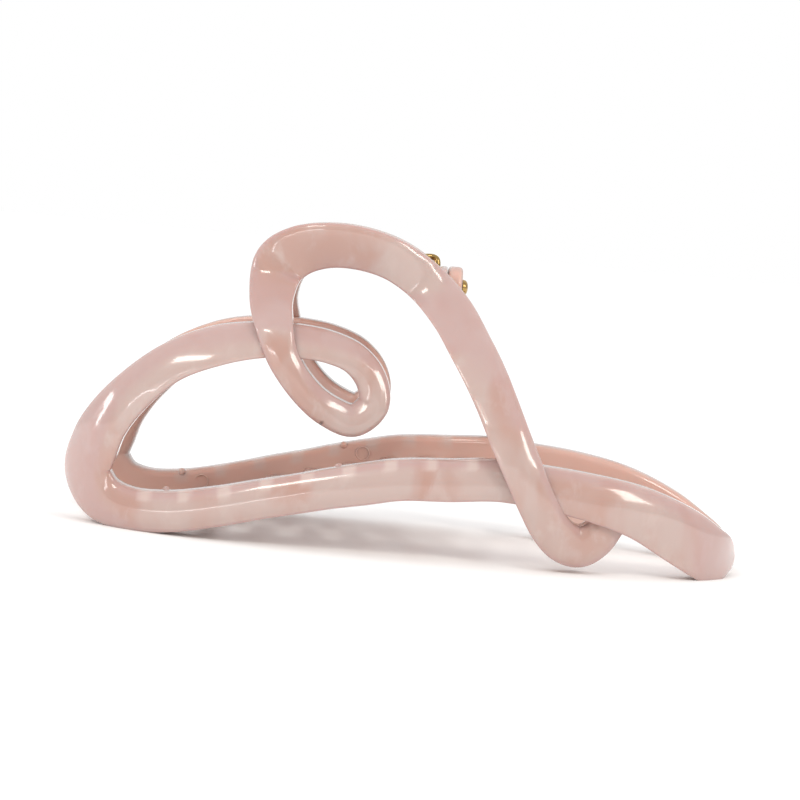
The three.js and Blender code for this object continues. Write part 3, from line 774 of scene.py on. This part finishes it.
def paint_shade_and_shine_through(mesh, side, windows):
    """Stores painted light and shade: light shining through the pale windows where the resin is thin, and
    shade on the faces that look inward and on the shoulders.
    """
    count = len(mesh.vertices)
    where, normal = np.empty(count * 3, np.float32), np.empty(count * 3, np.float32)
    mesh.vertices.foreach_get("co", where)
    mesh.vertices.foreach_get("normal", normal)
    where, normal = where.reshape(-1, 3), normal.reshape(-1, 3)
    outward_share = side * normal[:, 1]
    # Painted shade on the faces that look inward, away from the camera and the light.
    inward_shade = smooth_step(-outward_share, 0.25, 0.85)
    # Painted shade on the shoulder bands, which turn part way from the front.
    shoulder = (SHOULDER_SHADE_STRENGTH * smooth_step(outward_share, 0.2, 0.4)
                * smooth_step(-outward_share, -0.93, -0.8))
    # Painted light shining through the thin resin between the tooth roots.
    thin = np.zeros(count, np.float32)
    for x in windows:
        bar = on_bar(x)
        top = bar["centre"][2] + bar["ribbon_width"] / 2
        slope = (on_bar(x + MM)["centre"][2] - on_bar(x - MM)["centre"][2]) / (2 * MM)
        height = where[:, 2] - top - slope * (where[:, 0] - x)
        within = smooth_step(WINDOW_WIDTH / 2 - abs(where[:, 0] - x), -WINDOW_BLUR, WINDOW_BLUR)
        above_low_end = smooth_step(height + WINDOW_HEIGHT, -0.4 * MM, 0.4 * MM)
        below_top = smooth_step(1.5 * MM - height, 0, 0.5 * MM)
        thin = np.maximum(thin, WINDOW_STRENGTH * within * above_low_end * below_top)
    for name, values in (("painted_inward_shade", inward_shade), ("shoulder", shoulder), ("painted_shine_through", thin)):
        mesh.attributes.new(name, "FLOAT", "POINT").data.foreach_set("value", values.astype(np.float32))


def combined(name, base, steps):
    """The base solid with each (operation, solid) applied in turn."""
    whole = put(name, base)
    helpers = []
    for i, (operation, mesh) in enumerate(steps):
        helper = put(f"{name}_{i}", mesh)
        helpers.append(helper)
        cut = whole.modifiers.new(f"step_{i}", "BOOLEAN")
        cut.operation, cut.solver, cut.object = operation, "MANIFOLD", helper
        helper.hide_render = True
    bpy.context.view_layer.update()
    mesh = bpy.data.meshes.new_from_object(whole.evaluated_get(bpy.context.evaluated_depsgraph_get()))
    mesh.name = name
    for o in [whole, *helpers]:
        bpy.data.objects.remove(o)
    return mesh


def jaw(name, mirrored, tooth_count, first_tooth, ears, bore):
    """One jaw as a single solid in the front half, mirrored to the rear half if asked."""
    inner_half = box_mesh("inner_half", (-BIG, -BIG, 0.0), (BIG, -JAW_GAP / 2, BIG))
    steps = [("UNION", strands[1].copy()), ("UNION", strands[2].copy()), ("INTERSECT", inner_half),
             ("UNION", teeth(f"{name}_teeth", tooth_count, first_tooth))]
    steps += [("UNION", ear(*e)) for e in ears]
    steps += [("UNION", pip(x)) for x in PIPS] + [("UNION", ejector_mark(x)) for x in EJECTOR_MARKS]
    steps.append(("DIFFERENCE", turned_rod("bore", [(-BIG, 0), (-BIG, bore), (BIG, bore), (BIG, 0)])))
    mesh = combined(name, strands[0].copy(), steps)
    work = bmesh.new()
    work.from_mesh(mesh)
    bmesh.ops.remove_doubles(work, verts=work.verts, dist=2e-7)
    bmesh.ops.dissolve_degenerate(work, edges=work.edges, dist=1e-7)
    if mirrored:
        for v in work.verts:
            v.co.y = -v.co.y
        bmesh.ops.reverse_faces(work, faces=work.faces)
    work.to_mesh(mesh)
    work.free()
    mesh.materials.clear()
    mesh.materials.append(resin)
    mesh.shade_smooth()
    mesh.set_sharp_from_angle(angle=math.radians(42))
    windows = first_tooth + (np.arange(tooth_count) - 0.5) * TOOTH_PITCH
    # Paints the shade on inward faces and shoulders, and the light shining through the windows.
    paint_shade_and_shine_through(mesh, 1 if mirrored else -1, windows)
    return put(name, mesh)


front_jaw = jaw("front_jaw_resin", False, TOOTH_COUNT, FIRST_TOOTH,
                [(*front_left, SMALL_EAR_RADIUS), (*front_right, EAR_RADIUS)], PIN_RADIUS + PIN_CLEARANCE)
rear_jaw = jaw("rear_jaw_resin", True, TOOTH_COUNT - 1, FIRST_TOOTH + TOOTH_PITCH / 2,
               [(*rear_left, SMALL_EAR_RADIUS), (*rear_right, EAR_RADIUS + 0.1 * MM)], PIN_RADIUS + PIN_SEAT)
for piece, body, stands_for in ((front_jaw, "front", "front_jaw"), (rear_jaw, "rear", "rear_jaw")):
    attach(piece, body)
    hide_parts(stands_for)

# ---------------------------------------------------------------- hinge pin
# A gilt brass rivet through all four ears, domed at both ends where it is
# peened over.
PIN_HEAD_RADIUS = 1.35 * MM
PIN_HEAD_HEIGHT = 1.0 * MM
PIN_TAIL_RADIUS = 1.15 * MM
BRIGHT_GOLD = (0.56, 0.37, 0.15, 1)
TARNISHED_GOLD = (0.34, 0.22, 0.07, 1)


def gilt_wire():
    """Gilt brass, drawn along its length and a little tarnished."""
    made, tree, shader = new_material("gold_wire")
    where = tree.nodes.new("ShaderNodeTexCoord").outputs["Object"]
    drawn = node(tree, "ShaderNodeMapping", {"Vector": where, "Scale": (1.0, 0.25, 0.25)})
    polish = node(tree, "ShaderNodeGroup", node_tree=hand_polish, links={
        "Vector": drawn.outputs[0], "Wave Scale": 900.0, "Base Roughness": 0.20, "Scuffing": 0.22})
    tarnish = node(tree, "ShaderNodeTexNoise", {"Vector": where, "Scale": 700.0, "Detail": 4.0})
    tone = colour_mix(tree, tarnish.outputs["Fac"], BRIGHT_GOLD, TARNISHED_GOLD)
    bump = node(tree, "ShaderNodeBump", {"Height": polish.outputs["Height"],
                                         "Strength": 0.3, "Distance": 0.00005})
    tree.links.new(tone, shader.inputs["Base Color"])
    tree.links.new(polish.outputs["Roughness"], shader.inputs["Roughness"])
    tree.links.new(bump.outputs[0], shader.inputs["Normal"])
    shader.inputs["Metallic"].default_value = 1.0
    return made


gold = gilt_wire()


def dome(x, radius, way):
    """(x, radius) pairs of a peened head with a shallow step under the dome."""
    shape = [(0.0, 0.94), (0.06, 1.0), (0.26, 1.0), (0.31, 0.965), (0.36, 0.955)]
    for a in map(math.radians, range(12, 90, 12)):
        shape.append((0.36 + 0.64 * math.sin(a), 0.955 * math.cos(a)))
    shape.append((1.0, 0.0))
    return [(x + way * PIN_HEAD_HEIGHT * rise, radius * share) for rise, share in shape]


pin_from = rear_left[0] - SIDE_GAP / 2
pin_to = rear_right[1] + SIDE_GAP / 2
pin_mesh = turned_rod("pin", dome(pin_from, PIN_TAIL_RADIUS, -1)[::-1]
                      + [(pin_from, PIN_RADIUS), (pin_to, PIN_RADIUS)]
                      + dome(pin_to, PIN_HEAD_RADIUS, 1))
pin_mesh.materials.append(gold)
pin_mesh.shade_smooth()
pin_mesh.set_sharp_from_angle(angle=math.radians(50))
pin = put("hinge_pin_rivet", pin_mesh)
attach(pin, "rear")
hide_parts("hinge_pin")

# ---------------------------------------------------------------- torsion spring
# One length of gilt spring wire: a turn and a half round the pin, with a bent
# leg that hooks behind the upper loop of each jaw.
COIL_CLEARANCE = 0.3 * MM
LEG_RISE = 4.6 * MM
LEG_HOOK = 4.6 * MM
HOOK_GAP = 0.85 * MM
coil_radius = PIN_RADIUS + COIL_CLEARANCE + WIRE_RADIUS


def wire_tree():
    """Round wire along the given line."""
    tree, given, out = group_tree(
        "drawn_wire", "GeometryNodeTree",
        [("Geometry", "NodeSocketGeometry", None), ("Wire Radius", "NodeSocketFloat", 0.0005),
         ("Sides", "NodeSocketInt", 20), ("Steps", "NodeSocketInt", 100),
         ("Material", "NodeSocketMaterial", None)],
        [("Geometry", "NodeSocketGeometry")])
    line = node(tree, "GeometryNodeMeshToCurve", {0: given.outputs["Geometry"]}).outputs[0]
    soft = node(tree, "GeometryNodeCurveSplineType", {"Curve": line}, spline_type="CATMULL_ROM").outputs[0]
    even = node(tree, "GeometryNodeResampleCurve",
                {"Curve": soft, "Count": given.outputs["Steps"]}).outputs[0]
    ring = node(tree, "GeometryNodeCurvePrimitiveCircle",
                {"Resolution": given.outputs["Sides"], "Radius": given.outputs["Wire Radius"]}).outputs[0]
    skin = node(tree, "GeometryNodeCurveToMesh",
                {"Curve": even, "Profile Curve": ring, "Fill Caps": True}).outputs[0]
    finished(tree, skin, given, out)
    return tree


drawn_wire = wire_tree()


def wire(name, points, steps):
    """A piece of the gilt wire along these points."""
    line = line_mesh(name, points, False, {})
    mesh = outward(grown(name, line, drawn_wire, {"Wire Radius": WIRE_RADIUS, "Sides": 20, "Steps": steps,
                                                  "Material": gold}))
    mesh.shade_smooth()
    mesh.set_sharp_from_angle(angle=math.radians(50))
    made = put(name, mesh)
    return made


def leg_points(x, side):
    """From the hook's end to the coil; the hook lies HOOK_GAP behind the back of its handle."""
    def depth(at, rise):
        return shell_depth(at, hinge_z - foot + rise) - RIBBON_THICKNESS - WIRE_RADIUS - HOOK_GAP

    # Each row: along the pin, out from it, and up from it.
    hook = x - LEG_HOOK
    top = depth(hook, LEG_RISE - 0.5 * MM)
    rows = [(hook, top, LEG_RISE - 0.5 * MM), (hook + LEG_HOOK * 0.45, top - 0.1 * MM, LEG_RISE - 0.15 * MM),
            (x - 1.1 * MM, top - 0.4 * MM, LEG_RISE), (x - 0.25 * MM, top - 0.55 * MM, LEG_RISE - 0.3 * MM),
            (x, top - 0.8 * MM, LEG_RISE - 1.15 * MM), (x, coil_radius + 0.45 * MM, 2 * MM),
            (x, coil_radius, 0.0)]
    return [(a, side * b, hinge_z + c) for a, b, c in rows]


coil_first, coil_last = coil_right - WIRE_RADIUS, coil_left + WIRE_RADIUS
turns = np.linspace(0, COIL_TURNS * 2 * math.pi, 49)
helix = [(coil_first + (coil_last - coil_first) * a / turns[-1], coil_radius * math.cos(a),
          hinge_z - coil_radius * math.sin(a)) for a in turns]
coil = wire("spring_coil", helix, 140)
rear_leg = wire("spring_leg_rear", leg_points(coil_first, 1), 60)
front_leg = wire("spring_leg_front", leg_points(coil_last, -1), 60)
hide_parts("torsion_spring")
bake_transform(coil)
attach(rear_leg, "rear")
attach(front_leg, "front")

# ---------------------------------------------------------------- table, light and camera
# The clip stands on a plain white table under soft boxes; the camera looks a
# little from above and is rolled so that the clip leans as when held up.
TURN = math.radians(5.4)
AIM = Vector((-2.02, 0, 23.6)) * MM
DISTANCE = 0.405
ELEVATION = math.radians(4.5)
SENSOR, LENS = 36, 109.35  # camera sensor and lens in millimetres


def rolled(v):
    """From the camera's upright axes to the frame."""
    c, s = math.cos(TURN), math.sin(TURN)
    return Vector((v[0] * c - v[2] * s, v[1], v[0] * s + v[2] * c))


back = rolled((0, -math.cos(ELEVATION), math.sin(ELEVATION)))
up = rolled((0, 0, 1))
right = up.cross(back).normalized()
true_up = back.cross(right)
camera_data = bpy.data.cameras.new("camera")
camera_data.sensor_width = SENSOR
camera_data.lens = LENS
camera_data.clip_start, camera_data.clip_end = 0.01, 20
camera = bpy.data.objects.new("camera", camera_data)
turn = Matrix((right, true_up, back)).transposed().to_4x4()
camera.matrix_world = Matrix.Translation(AIM + back * DISTANCE) @ turn
bpy.context.scene.collection.objects.link(camera)
bpy.context.scene.camera = camera


def table_top():
    """Matt white board with a hardly visible grain."""
    made, tree, shader = new_material("white_table")
    where = tree.nodes.new("ShaderNodeTexCoord").outputs["Object"]
    grain = node(tree, "ShaderNodeTexNoise", {"Vector": where, "Scale": 400.0, "Detail": 3.0})
    tone = colour_mix(tree, grain.outputs["Fac"], (0.97, 0.97, 0.97, 1), (0.985, 0.985, 0.985, 1))
    tree.links.new(tone, shader.inputs["Base Color"])
    shader.inputs["Roughness"].default_value = 0.9
    shader.inputs["Specular IOR Level"].default_value = 0.1
    return made


def floor():
    work = bmesh.new()
    bmesh.ops.create_grid(work, x_segments=8, y_segments=8, size=3.0)
    mesh = bpy.data.meshes.new("floor")
    work.to_mesh(mesh)
    work.free()
    mesh.materials.append(table_top())
    return put("floor", mesh)


floor()


LIGHT_DISTANCE = 0.9
CLIP_MIDDLE = Vector((0, 0, 0.025))
WHITE, WARM = (1, 1, 1), (1, 0.97, 0.9)


def soft_box(name, azimuth, elevation, width, height, watts, colour):
    """A soft box aimed at the clip, azimuth measured from the front towards +X."""
    a, e = math.radians(azimuth), math.radians(elevation)
    place = Vector((LIGHT_DISTANCE * math.sin(a) * math.cos(e), -LIGHT_DISTANCE * math.cos(a) * math.cos(e),
                    CLIP_MIDDLE.z + LIGHT_DISTANCE * math.sin(e)))
    data = bpy.data.lights.new(name, "AREA")
    data.shape, data.size, data.size_y = "RECTANGLE", width, height
    data.energy, data.color = watts, colour
    made = bpy.data.objects.new(name, data)
    made.location = place
    made.rotation_mode = "QUATERNION"
    made.rotation_quaternion = (CLIP_MIDDLE - place).to_track_quat("-Z", "Y")
    bpy.context.scene.collection.objects.link(made)


soft_box("key", -30, 38, 0.26, 0.14, 1.5, WARM)
soft_box("right", 48, 30, 0.16, 0.36, 1.9, WARM)
soft_box("low_left", -30, 3, 0.5, 0.05, 0.7, WHITE)
soft_box("left_side", -88, 6, 0.10, 0.30, 0.9, WHITE)

ROOM_GLOW = {"To Min": 0.74, "To Max": 1.16}
FRONT_REFLECTION = 0.5

# The room glows more from above; in reflections its front half is darker, so
# that the gloss keeps its contrast, and behind the clip it stays plain white.
world = bpy.data.worlds.new("studio")
world.use_nodes = True
tree = world.node_tree
sky = tree.nodes["Background"]
paths = tree.nodes.new("ShaderNodeLightPath").outputs
direction = parts_of(tree, tree.nodes.new("ShaderNodeTexCoord").outputs["Generated"])
glow = node(tree, "ShaderNodeMapRange",
            {"Value": direction[2], "From Min": 0.0, "From Max": 0.8, **ROOM_GLOW}).outputs[0]
behind = node(tree, "ShaderNodeMapRange", {"Value": direction[1], "From Min": -0.2, "From Max": 0.6,
                                           "To Min": FRONT_REFLECTION, "To Max": 1.0}).outputs[0]
mirrored_glow = math_node(tree, "MULTIPLY", glow, behind)
dimmed = node(tree, "ShaderNodeMix", {0: paths["Is Glossy Ray"], 2: glow, 3: mirrored_glow}).outputs[0]
level = node(tree, "ShaderNodeMix", {0: paths["Is Camera Ray"], 2: dimmed, 3: 1.0}).outputs[0]
tree.links.new(level, sky.inputs["Strength"])
sky.inputs["Color"].default_value = (1, 1, 1, 1)
bpy.context.scene.world = world
bpy.context.scene.view_settings.view_transform = "Standard"
